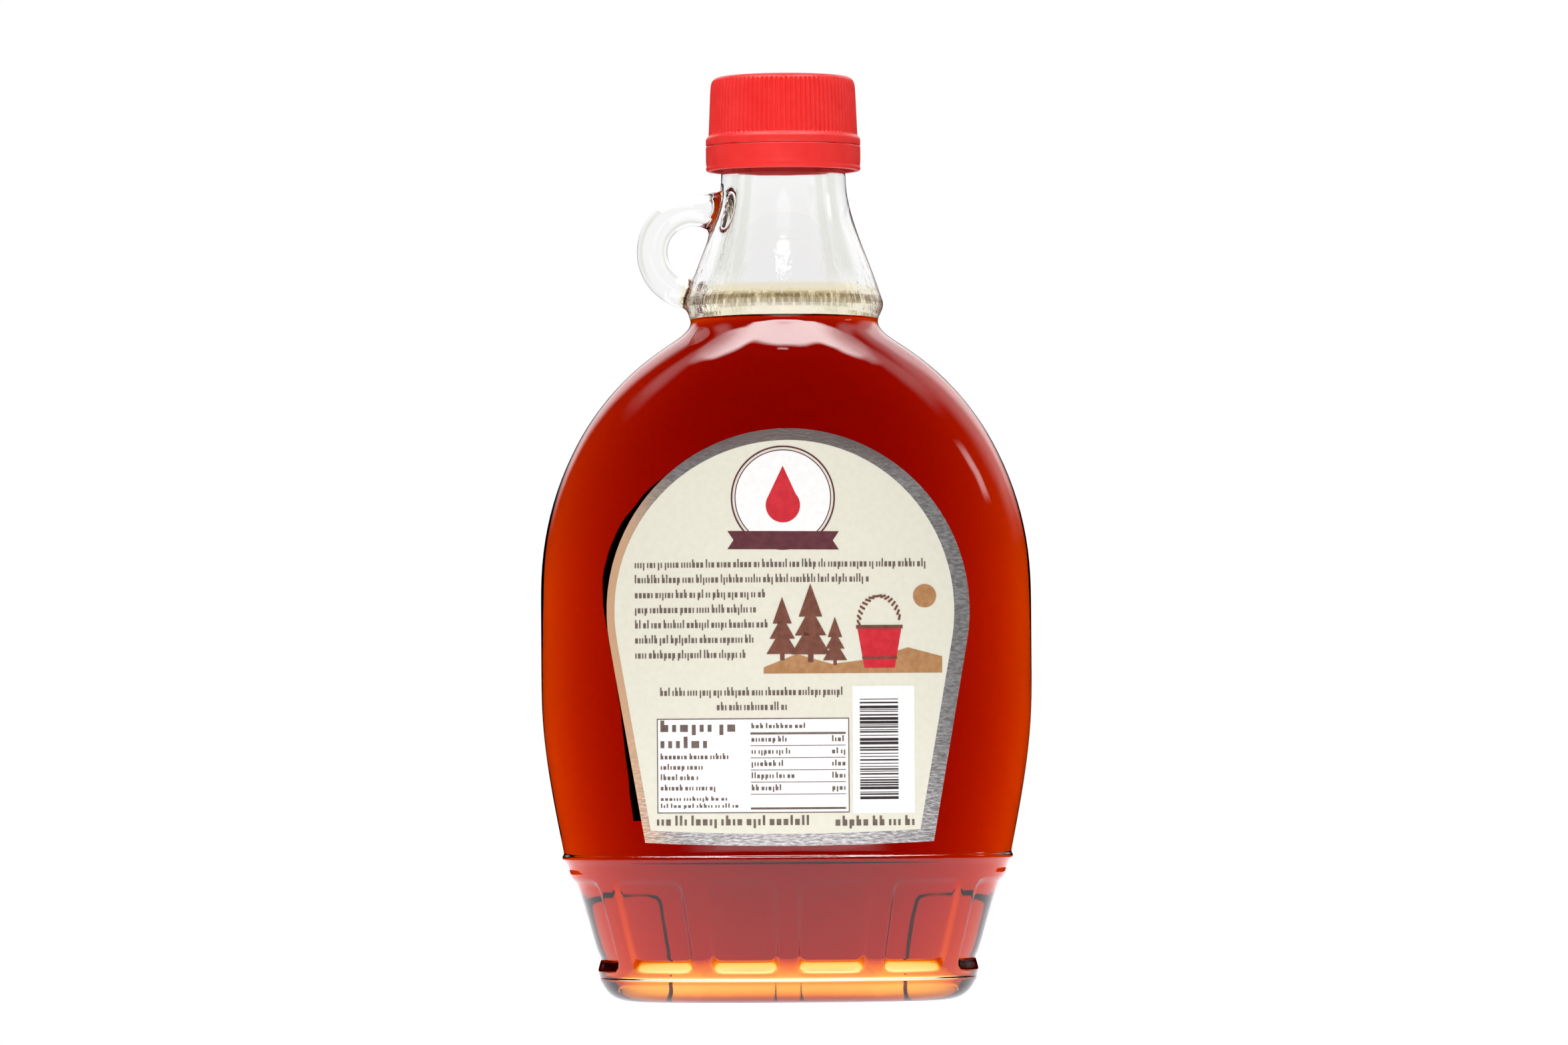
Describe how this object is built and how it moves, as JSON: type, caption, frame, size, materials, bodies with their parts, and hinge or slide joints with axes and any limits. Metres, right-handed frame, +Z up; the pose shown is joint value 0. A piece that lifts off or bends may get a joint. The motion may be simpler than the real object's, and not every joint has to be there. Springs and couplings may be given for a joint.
{
  "type": "oval glass flask of maple syrup with a finger loop",
  "caption": "Sealed flat oval clear glass flask full of dark amber maple syrup, with a finger loop at the neck, a red screw cap and arched labels.",
  "frame": {"origin": "centre of the foot, on the surface that the flask stands on", "axes": "+Z up along the neck, +X away from the finger loop, broad faces along -Y and +Y"},
  "size_m": [0.0984, 0.052, 0.1851],
  "materials": {
    "clear_glass": "moulded flint glass",
    "maple_syrup": "clear amber syrup",
    "cap_plastic": "satin moulded plastic",
    "label_paper": "printed, with a foil edge"
  },
  "bodies": {
    "root": {"glass_bottle": "clear_glass", "syrup": "maple_syrup", "cap": "cap_plastic", "tamper_band": "cap_plastic", "back_label": "label_paper", "front_label": "label_paper"}
  },
  "joints": []
}
